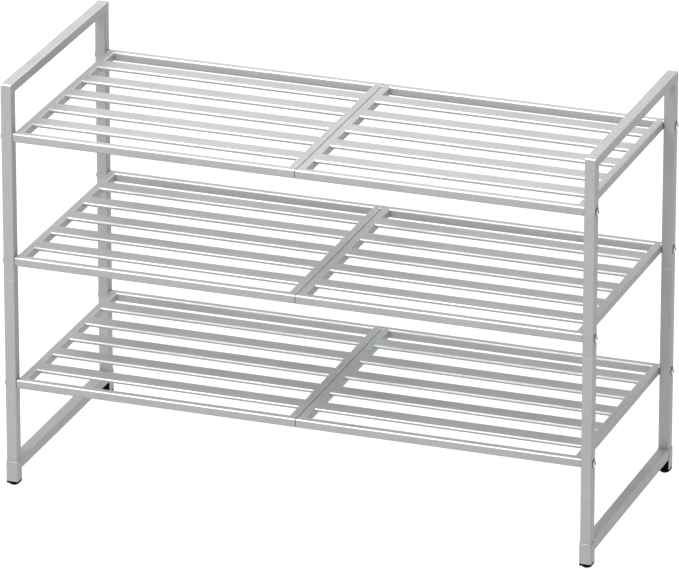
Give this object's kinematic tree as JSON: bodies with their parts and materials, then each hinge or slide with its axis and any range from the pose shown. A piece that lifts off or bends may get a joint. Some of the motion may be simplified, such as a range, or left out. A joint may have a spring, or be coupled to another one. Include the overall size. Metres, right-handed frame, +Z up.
{
  "type": "tiered shoe rack",
  "caption": "Free-standing metal shoe rack: slatted shelves in half panels, bolted between two tube end frames with handle rails, bottom rails and stacking sleeves with plastic feet.",
  "frame": {"origin": "on the floor, under the middle of the rack", "axes": "+Z up, +X to the right along the shelves as seen from the front, +Y towards the rear"},
  "size_m": [0.8436, 0.36, 0.583],
  "materials": {
    "frame_coat": "satin",
    "shelf_coat": "satin",
    "bolt_steel": "polished",
    "insert_steel": "satin",
    "foot_plastic": "matte"
  },
  "bodies": {
    "root": {"left_front_upper_leg": "frame_coat", "left_front_lower_leg": "frame_coat", "left_rear_upper_leg": "frame_coat", "left_rear_lower_leg": "frame_coat", "left_leg_spigots": "insert_steel", "left_handle_rail": "frame_coat", "left_bottom_rail": "frame_coat", "left_front_sleeve": "frame_coat", "left_rear_sleeve": "frame_coat", "left_front_foot": "foot_plastic", "left_rear_foot": "foot_plastic", "left_shelf_bolts": "bolt_steel", "left_threaded_plugs": "insert_steel", "right_front_upper_leg": "frame_coat", "right_front_lower_leg": "frame_coat", "right_rear_upper_leg": "frame_coat", "right_rear_lower_leg": "frame_coat", "right_leg_spigots": "insert_steel", "right_handle_rail": "frame_coat", "right_bottom_rail": "frame_coat", "right_front_sleeve": "frame_coat", "right_rear_sleeve": "frame_coat", "right_front_foot": "foot_plastic", "right_rear_foot": "foot_plastic", "right_shelf_bolts": "bolt_steel", "right_threaded_plugs": "insert_steel", "top_left_front_rail": "shelf_coat", "top_left_rear_rail": "shelf_coat", "top_left_end_rail": "shelf_coat", "top_left_joint_rail": "shelf_coat", "top_left_slats": "shelf_coat", "top_right_front_rail": "shelf_coat", "top_right_rear_rail": "shelf_coat", "top_right_end_rail": "shelf_coat", "top_right_joint_rail": "shelf_coat", "top_right_slats": "shelf_coat", "middle_left_front_rail": "shelf_coat", "middle_left_rear_rail": "shelf_coat", "middle_left_end_rail": "shelf_coat", "middle_left_joint_rail": "shelf_coat", "middle_left_slats": "shelf_coat", "middle_right_front_rail": "shelf_coat", "middle_right_rear_rail": "shelf_coat", "middle_right_end_rail": "shelf_coat", "middle_right_joint_rail": "shelf_coat", "middle_right_slats": "shelf_coat", "bottom_left_front_rail": "shelf_coat", "bottom_left_rear_rail": "shelf_coat", "bottom_left_end_rail": "shelf_coat", "bottom_left_joint_rail": "shelf_coat", "bottom_left_slats": "shelf_coat", "bottom_right_front_rail": "shelf_coat", "bottom_right_rear_rail": "shelf_coat", "bottom_right_end_rail": "shelf_coat", "bottom_right_joint_rail": "shelf_coat", "bottom_right_slats": "shelf_coat", "top_splice_bars": "insert_steel", "middle_splice_bars": "insert_steel", "bottom_splice_bars": "insert_steel"}
  },
  "joints": []
}
